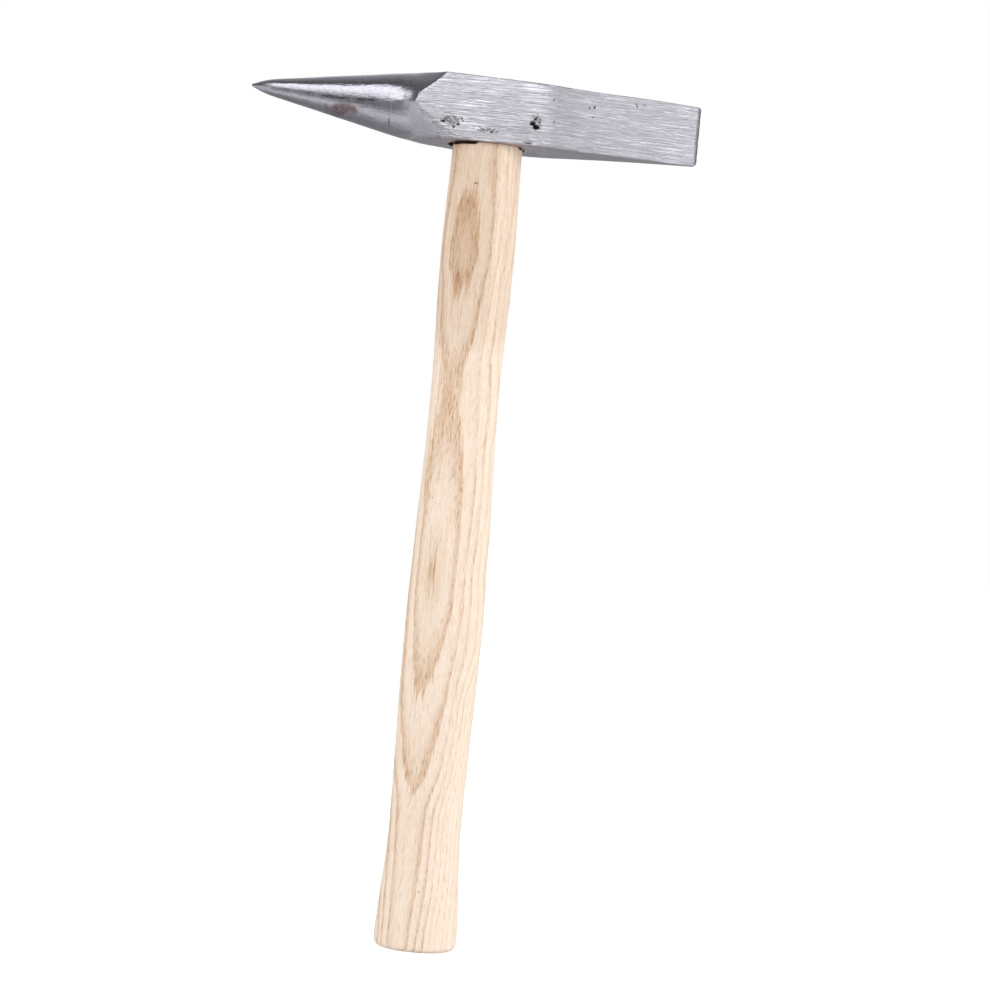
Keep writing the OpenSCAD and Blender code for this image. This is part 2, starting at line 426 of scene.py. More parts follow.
def ground_steel():
    """Bright steel, ground along the head on its flats and smoother and darker on the spike."""
    n = Material("ground_steel")
    x, _, z = n.add("SeparateXYZ", n.place).outputs
    n.place = n.add("CombineXYZ", x, n.value("lane"), z).outputs[0]
    # The spike's look, which also paints shade on the upper cheek beside the crossing
    spike = n.value("spike")
    crumbs = n.noise((2600, 2600, 2600), 3, 0.6)
    pit = n.ramp(n.plus(n.value("pit"), n.ramp(crumbs, 0.3, 0.7, -0.12, 0.12)), 0.46, 0.54)
    specks = n.noise((1150, 1150, 1500), 4, 0.72)
    specks = n.plus(specks, n.ramp(n.value("worn"), 0, 1, -0.25, 0.105))
    speck = n.ramp(specks, 0.645, 0.685)
    flake = n.times(n.ramp(specks, 0.53, 0.6), n.ramp(n.value("worn"), 0.1, 0.6, 0, 0.55))
    # The spike's dark streaks, and painted shade along the chisel's edge
    mark = n.ramp(n.plus(n.value("mark"), n.ramp(crumbs, 0.3, 0.7, -0.16, 0.16)), 0.38, 0.6)
    rust_noise = n.noise((1500, 1500, 1500), 4, 0.7)
    rust = n.times(n.value("rust"), n.ramp(rust_noise, 0.36, 0.62, 0.55, 1))
    coarse = n.noise((80, 700, 1900), 4, 0.6)
    fine = n.noise((160, 2600, 4600), 3, 0.65)
    streak = n.ramp(n.noise((85, 900, 2100), 2, 0.5), 0.57, 0.66)
    dash = n.ramp(n.noise((230, 1500, 2500), 2, 0.5), 0.6, 0.69, 0, 0.8)
    scratch = n.ramp(n.noise((100, 1100, 3200), 1, 0.5), 0.36, 0.29)
    dull = n.noise((60, 60, 60), 4, 0.6)
    cheek = n.mix(n.ramp(coarse, 0.3, 0.7), CHEEK_DARK, CHEEK_LIGHT)
    cheek = n.mix(n.ramp(fine, 0.35, 0.75), cheek, CHEEK_FINE)
    cheek = n.mix(n.math("MAXIMUM", streak, dash), cheek, CHEEK_STREAK)
    cheek = n.mix(n.times(scratch, 0.7), cheek, CHEEK_SCRATCH)
    cheek = n.mix(n.ramp(dull, 0.45, 0.75, 0, 0.4), cheek, CHEEK_DULL)
    edge_side = n.ramp(x, LIGHTER_FROM, LIGHTEST_FROM)
    cheek = n.mix(edge_side, cheek, n.mix(0.15, cheek, CHISEL_LIGHT))
    lines = n.noise((900, 900, 70), 3, 0.6)
    drawn = n.noise((70, 1300, 1300), 4, 0.65)
    cone = n.mix(n.ramp(lines, 0.3, 0.75), SPIKE_DARK, SPIKE_LIGHT)
    cone = n.mix(n.ramp(drawn, 0.55, 0.8, 0, 0.6), cone, SPIKE_GRIT)
    grit = n.ramp(n.noise((900, 1700, 1700), 4, 0.75), 0.46, 0.64, 0, 0.55)
    polished = n.math("SUBTRACT", 1, n.value("matte"))
    cone = n.mix(n.times(grit, polished), cone, SPIKE_GRIT)
    ripple = n.noise((260, 900, 900), 3, 0.6)
    colour = n.mix(spike, cheek, cone)
    colour = n.mix(rust, colour, RUST)
    colour = n.mix(n.times(mark, 0.8), colour, MARK_AND_EDGE_SHADE)
    colour = n.mix(flake, colour, FLAKE)
    colour = n.mix(n.times(speck, 0.9), colour, SPECK)
    colour = n.mix(pit, colour, PIT)
    n.set("Base Color", colour)
    dark_weight = n.math("MAXIMUM", pit, n.math("MAXIMUM", n.times(rust, 0.8), speck))
    n.set("Metallic", n.blend(dark_weight, 1, 0.3))
    smooth = n.plus(n.ramp(lines, 0.3, 0.7, 0.13, 0.21), n.times(n.value("matte"), 0.07))
    rough = n.blend(spike, n.ramp(fine, 0.3, 0.7, 0.32, 0.48), smooth)
    n.set("Roughness", n.blend(dark_weight, rough, 0.7))
    flat = n.math("SUBTRACT", 1, spike)
    n.bump(
        (n.times(coarse, flat), 0.00016),
        (n.times(fine, flat), 0.00008),
        (n.times(ripple, spike), 0.0001),
        (n.times(n.plus(lines, drawn), spike), 0.00002),
        (n.ramp(specks, 0.56, 0.69, 0, -1.0), 0.00022),
    )
    return n.material


def forge_scale():
    """The dark skin that forging leaves inside the eye."""
    n = Material("forge_scale")
    lumps = n.noise((500, 500, 500), 5, 0.6)
    n.set("Base Color", n.mix(lumps, (0.02, 0.019, 0.019), (0.07, 0.062, 0.058)))
    n.set("Metallic", 0.3)
    n.set("Roughness", n.ramp(lumps, 0.2, 0.8, 0.55, 0.85))
    n.bump((lumps, 0.0003))
    return n.material


# The wood's colours: its latewood, its earlywood and its pores
HANDLE_WOOD = ((0.885, 0.75, 0.592), (0.66, 0.445, 0.262), (0.46, 0.24, 0.105))
WEDGE_WOOD = ((0.50, 0.33, 0.19), (0.33, 0.19, 0.10), (0.18, 0.09, 0.05))
# How much each channel brightens in paler bands and in pale flecks
PALER, FLECKED = (1.02, 1.04, 1.08), (1.07, 1.1, 1.17)
# What grime (with painted shade under the head) and a stain multiply the wood by; colour of dents and
# painted gap shade
GRIME_AND_SHADE_TINT, STAINED, DENT_AND_GAP_SHADE = (0.55, 0.43, 0.33), (0.76, 0.63, 0.47), (0.085, 0.052, 0.045)
# How brown the wood is over one growth ring
EARLYWOOD = ((0, 0), (0.05, 0.6), (0.11, 1), (0.24, 0.8), (0.35, 0.46), (0.47, 0.16), (0.62, 0.02), (1, 0))


def brighter(colour, factors):
    return tuple(min(c * f, 1) for c, f in zip(colour, factors))


def ash(name, light, dark, pore):
    """Ash: brown porous earlywood at the start of each ring, pale latewood, and pores as short dashes."""
    n = Material(name)
    sway = n.noise((140, 140, 12), 3, 0.5)
    fibre = n.noise((1400, 1400, 40), 4, 0.6)
    growth = n.plus(n.value("growth"), n.ramp(sway, 0.2, 0.8, -0.04, 0.04))
    thread = n.noise((3000, 3000, 110), 4, 0.7)
    feather = n.plus(n.ramp(fibre, 0.25, 0.75, -0.05, 0.05), n.ramp(thread, 0.25, 0.75, -0.03, 0.03))
    growth = n.plus(growth, n.times(feather, n.value("feather")))
    ring = n.math("FRACT", growth, 0.0)
    early = n.steps(ring, EARLYWOOD)
    patchy = n.ramp(n.noise((420, 420, 24), 2, 0.5), 0.3, 0.62, 0.7, 1)
    early = n.times(early, n.times(patchy, n.value("contrast")))
    broad = n.noise((260, 260, 9), 2, 0.5)
    dash = n.ramp(n.noise((3000, 3000, 330), 2, 0.6), 0.52, 0.66)
    fleck = n.ramp(n.noise((2500, 2500, 210), 2, 0.6), 0.55, 0.72)
    pores = n.times(dash, n.ramp(early, 0.05, 0.85, 0.28, 1))
    brown = n.times(early, n.ramp(thread, 0.25, 0.7, 0.6, 1))
    colour = n.mix(n.ramp(broad, 0.3, 0.7), light, brighter(light, PALER))
    colour = n.mix(n.ramp(fibre, 0.5, 0.8, 0, 0.3), colour, dark)
    # Grime, and the painted shade right under the head, strengthen the dark streaks
    dark_weight = n.plus(0.38, n.times(n.value("grime"), 0.6))
    streaky = n.times(n.ramp(thread, 0.46, 0.72), dark_weight)
    colour = n.mix(streaky, colour, dark)
    colour = n.mix(brown, colour, dark)
    colour = n.mix(n.times(fleck, 0.35), colour, brighter(light, FLECKED))
    colour = n.mix(n.times(pores, 0.8), colour, pore)
    # Grime, with painted shade right under the head, multiplies the colour darker
    grime = n.ramp(n.noise((1100, 1100, 60), 4, 0.6), 0.3, 0.7, 0.55, 1.1)
    colour = n.mix(n.times(n.value("grime"), grime), colour, GRIME_AND_SHADE_TINT, "MULTIPLY")
    stain = n.times(n.value("stain"), n.ramp(thread, 0.3, 0.65, 0.5, 1.1))
    colour = n.mix(stain, colour, STAINED, "MULTIPLY")
    # Dark dents, and painted shade in the gap at the eye's mouth, in one colour
    colour = n.mix(n.ramp(n.value("dent"), 0.4, 0.6), colour, DENT_AND_GAP_SHADE)
    n.set("Base Color", colour)
    n.set("Roughness", n.ramp(fibre, 0.2, 0.8, 0.5, 0.68))
    n.set("Specular IOR Level", 0.35)
    n.bump((fibre, 0.00008), (n.times(pores, -1.0), 0.00008))
    return n.material


def dark_steel():
    """The raw steel of the small wedge."""
    n = Material("dark_steel")
    lumps = n.noise((900, 900, 900), 5, 0.65)
    n.set("Base Color", n.mix(lumps, (0.16, 0.155, 0.16), (0.34, 0.33, 0.335)))
    n.set("Metallic", 0.9)
    n.set("Roughness", n.ramp(lumps, 0.2, 0.8, 0.38, 0.62))
    n.bump((lumps, 0.00012))
    return n.material


def plain_floor():
    """White enough to vanish against the background."""
    n = Material("floor_white")
    n.set("Base Color", (0.5, 0.5, 0.5))
    n.set("Emission Color", (1, 1, 1))
    n.set("Emission Strength", 0.95)
    n.set("Roughness", 0.9)
    n.set("Specular IOR Level", 0.0)
    return n.material


# ---------------- the head

# The spike: how far its axis dips towards the eye, its tip's height, its rounded nose, the end of its cone,
# the hollow of radius FLARE_R that leads to the steeper flare, and the half angles of both
SPIKE_TILT = radians(2.7)
TIP_Z = UNDER + 14.2
NOSE_L, NOSE_R, TIP_FLAT = 8.2, 3.1, 0.35
CONE_END, FLARE_R = 55.4, 12
CONE_HALF, FLARE_HALF = radians(10.3), radians(25)
# How far the flare goes on, and the largest radius for which the tilt counts
FLARE_L, SPIKE_MAX_R = 60, 11
# The top: its highest point, its slope, and how much lower it is at the chisel's edge; how much it waves and
# the underside bows
CREST_X, CREST_Z = -15.5, UNDER + 22.5
TOP_FALL = tan(radians(1.7))
EDGE_FALL = 0.9
TOP_WAVE, UNDER_BOW = 0.15, 0.1
# The chisel: where its taper starts and where it bends, how softly, and the edge with its bevel
TAPER_X = 18.4
TAPER_BEND = (0.36, 0.44)
TAPER_SOFT, BEVEL_SOFT = 1.5, 0.05
EDGE_LAND = 1.0
EDGE_END_T, EDGE_BEVEL = 0.08, 0.55
EDGE_R_TOP, EDGE_R_UNDER = 1.1, 1.6
CURVE_PTS = 200
# Radii of the head's long corners, by position along it
UNDER_CORNERS = [(-60, 3), (-22, 4.2), (-17, 3), (-12, 1.1), (-6, 0.6), (12, 0.6), (22, 0.5), (72, 0.35)]
TOP_CORNERS = [(-40, 0.2), (0, 0.3), (12, 0.6), (24, 0.6), (72, 0.5)]


def half_thickness(x):
    """Half the thickness of the head: level to the taper, then hollow towards the chisel's edge."""
    bend_x = TAPER_X + TAPER_BEND[0] * (EDGE_X - TAPER_X)
    bend_at = (bend_x, TAPER_BEND[1] * HALF_T)
    curve = bend((TAPER_X, HALF_T), bend_at, (EDGE_X, EDGE_LAND / 2), CURVE_PTS)
    slope = (curve[1, 1] - curve[0, 1]) / (curve[1, 0] - curve[0, 0])
    t = np.where(x < TAPER_X, HALF_T + (x - TAPER_X) * slope, np.interp(x, curve[:, 0], curve[:, 1]))
    t = smooth_min(t, HALF_T, TAPER_SOFT)
    bevel = EDGE_END_T + (EDGE_X - x) * EDGE_BEVEL
    return smooth_min(t, bevel, BEVEL_SOFT)


def corner_drop(x, r):
    """How far a line falls where it turns a corner of radius r at the chisel's edge."""
    d = np.clip(x - (EDGE_X - r), 0, r)
    return r - np.sqrt(np.clip(r * r - d * d, 0, None))


def top_line(x):
    """Height of the top of the head in profile."""
    start = CREST_Z - (TAPER_X - CREST_X) * TOP_FALL
    edge = start - EDGE_FALL
    mid = ((TAPER_X + EDGE_X) / 2, edge + EDGE_FALL)
    curve = bend((TAPER_X, start), mid, (EDGE_X - 2 * EDGE_R_TOP, edge), CURVE_PTS)
    straight = CREST_Z - (x - CREST_X) * TOP_FALL
    z = np.where(x < TAPER_X, straight, np.interp(x, curve[:, 0], curve[:, 1]))
    along = np.clip((x - TAPER_X) / (EDGE_X - TAPER_X), 0, 1)
    return z - TOP_WAVE * np.sin(2 * np.pi * along) - corner_drop(x, EDGE_R_TOP)


def under_line(x):
    """Height of its underside in profile."""
    along = np.clip((x - TAPER_X) / (EDGE_X - TAPER_X), 0, 1)
    return UNDER + UNDER_BOW * np.sin(np.pi * along) + corner_drop(x, EDGE_R_UNDER)


def spike_radius(s):
    """Radius of the spike at distance s from its tip, along its axis."""
    nose_mid = (NOSE_L / 2, NOSE_R - NOSE_L / 2 * tan(CONE_HALF))
    nose = bend((0, TIP_FLAT), nose_mid, (NOSE_L, NOSE_R))
    cone_r = NOSE_R + (CONE_END - NOSE_L) * tan(CONE_HALF)
    a = np.linspace(CONE_HALF, FLARE_HALF, 20)
    along = CONE_END + FLARE_R * (np.sin(a) - np.sin(a[0]))
    hollow = np.stack([along, cone_r + FLARE_R * (np.cos(a[0]) - np.cos(a))], 1)
    far = [[hollow[-1][0] + FLARE_L, hollow[-1][1] + FLARE_L * tan(FLARE_HALF)]]
    line = np.concatenate([nose, hollow, far])
    return np.interp(s, line[:, 0], line[:, 1])


def spike_axis(x):
    """Height of the spike's axis, which is level once it is inside the eye."""
    return TIP_Z - (np.clip(x, TIP_X, -8) - TIP_X) * tan(SPIKE_TILT)


# Points round a section, and how many of them lie below the spike's crossing on a cheek or in front of it
# on the top, so that the crossing is a line of the mesh
CHEEK_PTS, CHEEK_BELOW = 56, 38
TOP_PTS, TOP_BEFORE = 30, 8
CORNER_PTS = 6


# The spike is ground by hand and not quite round. Along it, as fractions of its radius: how far its upper
# half swells between top and side (below 0 it sinks), how far its lower half sinks, and how deep its sides
# are hollowed before the cheeks
SPIKE_SWELL = [
    (-70, 0), (-60, 0.02), (-50, 0.05), (-40, 0.09), (-36, 0.08), (-34, 0.04), (-31.5, -0.04), (-29, -0.08),
    (-25.2, -0.11), (-22, -0.16), (-20, -0.155), (-17.8, -0.09), (-15.5, 0),
]
SPIKE_SLIM = [(-70, 0), (-60, 0.02), (-50, 0.05), (-35, 0.12), (-26, 0.25), (-16, 0.38)]
SPIKE_HOLLOW = [
    (-48, 0), (-42, 0.022), (-38, 0.05), (-34, 0.082), (-31, 0.072), (-28, 0.038), (-25.5, 0.01), (-23.5, 0),
]


def spike_cross(x, y, z):
    """The spike's radius in the section at x, in the direction of (y, z) from its axis."""
    z_near = np.clip(z, -SPIKE_MAX_R, SPIKE_MAX_R)
    s = (x - TIP_X) / cos(SPIKE_TILT) - z_near * sin(SPIKE_TILT)
    reach = np.hypot(y, z) + 1e-9
    rise, side = z / reach, (y / reach) ** 2
    lean = np.where(z > 0, through(SPIKE_SWELL, x), through(SPIKE_SLIM, x))
    hollow = through(SPIKE_HOLLOW, x) * (0.5 + 0.5 * smooth_step(z, -9, 3))
    return spike_radius(s) * (1 + (lean * rise - hollow) * side)


def crossing(x, t, low, high, centre):
    """Where the spike's cone crosses the front cheek and the top face, as fractions of each line."""
    up = 0.0
    for _ in range(6):
        up = sqrt(max(float(spike_cross(x, t, up)) ** 2 - t * t, 0))
    rise = (centre + up - low) / (high - low)
    relax = float(smooth_step(x, CREST_X, CREST_X + 8))
    rise = min(rise, 0.985) * (1 - relax) + CHEEK_BELOW / CHEEK_PTS * relax
    out = 0.5 * t
    for _ in range(6):
        out = sqrt(max(float(spike_cross(x, out, high - centre)) ** 2 - (high - centre) ** 2, 0))
    out /= t
    out = min(max(out, 0.3), 0.97) * (1 - relax) + (1 - 2 * TOP_BEFORE / TOP_PTS) * relax
    return rise, out


def bar_loop(t, low, high, r_low, r_high, rise, out):
    """A rounded rectangle as (y, z) points: up the front cheek, over the top, down the rear and back."""
    r_low = min(r_low, 0.9 * t, 0.45 * (high - low))
    r_high = min(r_high, 0.9 * t, 0.45 * (high - low))

    def corner(y, z, r, a0, a1):
        a = np.radians(np.linspace(a0, a1, CORNER_PTS + 2)[1:-1])
        return np.stack([y + r * np.cos(a), z + r * np.sin(a)], 1)

    def level(y, z):
        return np.stack(np.broadcast_arrays(y, z), 1)

    below = np.linspace(0, rise, CHEEK_BELOW, endpoint=False)
    up = np.concatenate([below, np.linspace(rise, 1, CHEEK_PTS - CHEEK_BELOW)])
    up = low + r_low + up * (high - r_high - low - r_low)
    before = np.linspace(-1, -out, TOP_BEFORE, endpoint=False)
    middle = np.linspace(-out, out, TOP_PTS - 2 * TOP_BEFORE)
    across = np.concatenate([before, middle, -before[::-1]]) * (t - r_high)
    back = np.linspace(1, -1, TOP_PTS) * (t - r_low)
    runs = [
        level(-t, up),
        corner(-t + r_high, high - r_high, r_high, 180, 90),
        level(across, high),
        corner(t - r_high, high - r_high, r_high, 90, 0),
        level(t, up[::-1]),
        corner(t - r_low, low + r_low, r_low, 0, -90),
        level(back, low),
        corner(-t + r_low, low + r_low, r_low, -90, -180),
    ]
    return np.concatenate(runs)


def head_section(x):
    """The head's loop at x, a bar's section cut down by the spike's cone, and 1 where the cone cut it; up to
    0.4 of that spreads as painted shade onto the upper cheek beside the cut.
    """
    t, low, high = [float(f(x)) for f in (half_thickness, under_line, top_line)]
    centre = spike_axis(x)
    corners = through(UNDER_CORNERS, x), through(TOP_CORNERS, x)
    loop = bar_loop(t, low, high, *corners, *crossing(x, t, low, high, centre))
    y, z = loop[:, 0], loop[:, 1] - centre
    reach = np.hypot(y, z)
    r = spike_cross(x, y, z)
    upper = smooth_step(z, -5, 1)
    k = np.minimum(0.02 + 1.2 * (1 - upper), 0.35 * r)
    cut_to = np.where(reach < r - k, reach, smooth_min(reach, r, k))
    scale = cut_to / reach
    spike = smooth_step(reach - r, -0.05 + 0.1 * (1 - upper), 0.02 + 1.6 * (1 - upper))
    # Painted shade: up to 0.4 of the spike's darker look spread 1.3 mm onto the upper cheek beside the
    # crossing
    spike = np.maximum(spike, 0.4 * upper * smooth_step(reach - r, -1.3, 0))
    return np.stack([np.full(len(y), x), y * scale, centre + z * scale], 1), spike


# Pits left by the forging: x, z, half length, half height, depth
FRONT_PITS = (
    (14.6, 285, 0.9, 0.65, 1), (15.8, 283.9, 1, 0.75, 1.2), (15.4, 286.6, 0.5, 0.4, 0.4),
    (-16, 283.1, 1, 0.42, 0.4), (-12.1, 281.5, 0.36, 0.55, 0.4), (-10.6, 282.4, 0.55, 0.34, 0.3),
    (-9.6, 284.4, 0.32, 0.38, 0.2), (0.9, 280.8, 0.45, 0.3, 0.3), (13.4, 278.2, 1.5, 0.28, 0.3),
    (21.8, 286.4, 0.25, 0.4, 0.2), (33.6, 293, 0.24, 0.6, 0.15), (35.2, 293.3, 0.32, 0.6, 0.2),
    (34.9, 289.8, 0.32, 0.32, 0.2),
    (49.6, 296.4, 0.24, 0.5, 0.15), (49.9, 295.6, 0.24, 0.3, 0.15), (52.4, 296.4, 0.26, 0.4, 0.15),
    (21.2, 293.8, 0.24, 0.36, 0.15), (26.2, 296.2, 0.24, 0.24, 0.1),
)
REAR_PITS = (
    (-9.5, 292.4, 0.6, 0.4, 0.5), (-6.8, 293.1, 0.35, 0.3, 0.3), (7.2, 282.6, 0.8, 0.35, 0.6),
    (8.9, 283.5, 0.4, 0.3, 0.35), (22.4, 290.2, 0.3, 0.5, 0.3), (40.5, 284.9, 0.3, 0.3, 0.2),
)
# Where small pitting gathers on the front: x, z, half length, half height, how much
WORN = (
    (-13.2, 283.7, 6.2, 3.2, 0.95), (-0.6, 281.4, 7.2, 1.7, 0.9), (15.8, 285.6, 3.1, 4.2, 1),
    (12.3, 290.6, 1, 1, 0.6), (34.7, 292.6, 2, 1.6, 0.6), (50.6, 296.2, 2.4, 1.3, 0.65),
    (20.8, 293.2, 1.2, 1.2, 0.6), (-19.2, 290.4, 0.8, 1.6, 0.7), (-32.5, 284, 4.5, 2.2, 0.5),
    (0.5, 296.3, 1.2, 1, 0.5), (22.6, 286, 1.6, 2.2, 0.5), (-43, 287.3, 2.6, 1.2, 0.6),
)
# Dark streaks on the spike, which have no depth: x, z, half length, half height
SPIKE_MARKS = (
    (-56.2, 289, 2.2, 0.25), (-52.6, 288.6, 2.4, 0.25), (-41.8, 288.6, 1.7, 0.32), (-45, 288.4, 0.9, 0.2),
    (-34.6, 282.3, 0.22, 1.1),
)
RUST_PATCH = (-51.5, 285, 6.6, 2.2)
# Nicks in the chisel's edge: z, half height, depth; they fade out over NICK_L
EDGE_NICKS = ((286.2, 0.7, 0.28), (293.8, 0.4, 0.12), (281, 0.5, 0.1))
NICK_L = 1.2
# How far the cheeks fall off towards top and bottom, and half their height
CHEEK_CROWN, CHEEK_HALF = 0.22, 11
# Unevenness of the forging: depth, size of its lumps and seed
FORGED_WAVES = ((0.05, (9, 9, 5), 1), (0.02, (2.5, 2.5, 1.6), 2))
# Below its axis, the spike turns from polished to matte between these
MATTE_FROM, MATTE_TO = -46, -36
# The head's loops are this far apart, and closer over its two ends; the last point of the tip stands out
STATION, TIP_L, EDGE_L, TIP_OUT = 0.4, 1.2, 1.6, 0.05
# The eye's half length and half width, for telling its walls from the rest
EYE_REACH = (15, 9.2)
# The eye from its mouth up: height above the underside, half width, and the centres of its round ends
EYE_PTS = 96
EYE_RINGS = (
    (-2, 8.8, -5.4, 3.95), (0, 8.65, -5.35, 4.0), (0.5, 8.4, -5.3, 4.1), (5, 7.7, -5.15, 4.75),
    (11.25, 7.1, -5, 5), (17, 7.55, -5, 5), (24, 8.2, -5, 5),
)


def pit_depth(points, pits, side):
    """Depth of the pits on one side of the head (side -1 is the front), and 0.5 on a pit's outline, rising
    inside it and falling outside."""
    rough = 0.16 * wobble(points, (0.9, 0.9, 0.9), 3)
    depth = np.zeros(len(points))
    inside = np.zeros(len(points))
    facing = points[:, 1] * side > 0.4
    for x, z, rx, rz, deep in pits:
        gap = (spot(points, x, z, rx, rz) - 1) * min(rx, rz) + rough
        depth = np.maximum(depth, deep * smooth_step(gap, 0.15, -0.35) * facing)
        inside = np.maximum(inside, np.clip(0.5 - gap / 1.6, 0, 1) * facing)
    return depth, inside


def head_stations():
    """Positions of the head's loops along X."""
    tip = TIP_X + TIP_L * (1 - np.cos(np.linspace(0, np.pi / 2, 8)))
    body = np.arange(TIP_X + 1.6, EDGE_X - 1.8, STATION)
    edge = EDGE_X - EDGE_L * (1 - np.sin(np.linspace(0.02, np.pi / 2, 14)))
    return np.concatenate([tip, body, edge])


def end_cap(first):
    """Faces that close the chisel's edge: quads across the land and a small face at each end."""
    half = CHEEK_PTS + TOP_PTS + 2 * CORNER_PTS
    ring = range(first, first + 2 * half)
    front, rear = ring[:CHEEK_PTS], ring[half : half + CHEEK_PTS][::-1]
    faces = [(front[i], front[i + 1], rear[i + 1], rear[i]) for i in range(CHEEK_PTS - 1)]
    return faces + [tuple(ring[CHEEK_PTS - 1 : half + 1]), (*ring[half + CHEEK_PTS - 1 :], first)]


def eye_cutter():
    """The eye: an oval hole, waisted in the middle, a little longer at the mouth."""
    a = 2 * np.pi * np.arange(EYE_PTS) / EYE_PTS
    rings = []
    for z, half_w, left, right in EYE_RINGS:
        x = np.where(np.cos(a) > -1e-6, right, left) + half_w * np.cos(a)
        rings.append(np.stack([x, half_w * np.sin(a), np.full(EYE_PTS, UNDER + z)], 1))
    return loft("eye_cutter", rings, [])


def head_blank(materials):
    """The head before any wear, its points, and how much the spike's grinding shaped each of them, with
    painted shade on the upper cheek beside the crossing.
    """
    xs = head_stations()
    loops, spikes = zip(*(head_section(x) for x in xs))
    n = len(loops[0])
    tip = len(xs) * n
    points = np.concatenate([*loops, [[TIP_X - TIP_OUT, 0, TIP_Z]]])
    faces = loops_to_faces(len(xs), n) + [(tip, (j + 1) % n, j) for j in range(n)] + end_cap(tip - n)
    head = to_mesh("steel_head", points, faces, materials)
    head.data.flip_normals()
    return head, points, np.append(np.concatenate(spikes), 1)


def crown_and_nicks(points, normal):
    """How far the cheeks' crown and the nicks in the edge lie inward."""
    x, y, z = points.T
    cheek = (np.abs(y) > 0.97 * HALF_T) * (np.abs(normal[:, 1]) > 0.9)
    inward = CHEEK_CROWN * cheek * ((z - UNDER - CHEEK_HALF) / CHEEK_HALF) ** 2
    at_edge = smooth_step(x, EDGE_X - NICK_L, EDGE_X)
    for nick_z, half, deep in EDGE_NICKS:
        inward += deep * np.exp(-(((z - nick_z) / half) ** 2)) * at_edge
    return inward


def make_head(steel, scale):
    head, blank, spike = head_blank([steel, scale])
    normal = per_vertex(head.data, "normal")
    front_depth, front_dark = pit_depth(blank, FRONT_PITS, -1)
    rear_depth, rear_dark = pit_depth(blank, REAR_PITS, 1)
    _, mark_dark = pit_depth(blank, [(*mark, 0) for mark in SPIKE_MARKS], -1)
    inward = front_depth + rear_depth + crown_and_nicks(blank, normal)
    waves = sum(depth * wobble(blank, lumps, seed) for depth, lumps, seed in FORGED_WAVES)
    quiet = smooth_step(blank[:, 0], TIP_X, TIP_X + 12)
    points = blank + normal * (waves * quiet - inward)[:, None]
    points[:, 0] = np.clip(points[:, 0], TIP_X - TIP_OUT, EDGE_X)
    points[:, 1] = np.clip(points[:, 1], -HALF_T, HALF_T)
    set_points(head.data, points)

    x, _, z = points.T
    rust = spot(points, *RUST_PATCH) + 0.5 * wobble(points, (2, 2, 2), 6)
    # Painted shade: a dark band over the last 0.8 mm before the chisel's edge, added to the spike's dark
    # streaks
    painted_edge_shade = 0.53 * smooth_step(x, EDGE_X - 0.8, EDGE_X - 0.5)
    # Grinding lines keep to one lane, as if the chisel didn't taper
    lane = points[:, 1] / half_thickness(x) * HALF_T
    matte = smooth_step(x, MATTE_FROM, MATTE_TO) * smooth_step(z - spike_axis(x), 0.5, -2.5)
    set_values(
        head.data,
        matte=matte,
        # The spike's look, with painted shade on the upper cheek beside the crossing
        spike=spike,
        pit=np.maximum(front_dark, rear_dark),
        mark=np.maximum(mark_dark, painted_edge_shade),
        lane=lane * MM,
        worn=zones(points, WORN, 1.3, 0.3),
        rust=smooth_step(rust, 1.1, 0.5) * (points[:, 1] < 0),
    )
    cut(head, eye_cutter())
    for poly in head.data.polygons:
        x, y, z = np.array(poly.center) / MM
        within = abs(x) < EYE_REACH[0] and abs(y) < EYE_REACH[1]
        inside = within and UNDER + 0.15 < z < top_line(x) - 0.15
        poly.material_index = 1 if inside and abs(poly.normal.z) < 0.9 else 0
    sharpen(head, 21)
    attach(head, "root")
    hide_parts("head")


# ---------------- the handle

# By height: the handle's width, its thickness as a part of that, how square its section is, and how far it
# leans to the right
HANDLE_WIDTH = [
    (0, 28.6), (3.6, 28.6), (14, 27.8), (26, 26.2), (40, 25), (66, 25.6), (90, 26.6), (111, 27),
    (135, 26.1), (156, 25), (173, 24), (190, 23.5), (211, 24.2), (228, 25.1), (242, 25.3),
    (257, 24.9), (268, 24.3), (277.5, 24.1),
]
HANDLE_FLAT = [(0, 0.82), (277.5, 0.88)]
HANDLE_POWER = [(0, 2.15), (277.5, 2.8)]
HANDLE_LEAN = [(0, 0.25), (60, 0.05), (140, 0.12), (200, -0.12), (277.5, -0.2)]
BUTT_ROUND, SHOULDER_ROUND, TENON_ROUND = 2.0, 0.25, 0.3
RING_PTS = 168
RING_COS, RING_SIN = [f(2 * np.pi * np.arange(RING_PTS) / RING_PTS) for f in (np.cos, np.sin)]
# The tenon's section is two half rounds of this radius, centred this far to each side; the wedges spread it
TENON_HALF_W, EYE_CENTRE = 7.05, 5.0
TENON_SPREAD = 1.035
# How far the broken corner of the shoulder stands off the head
CHIP_DROP = 0.9

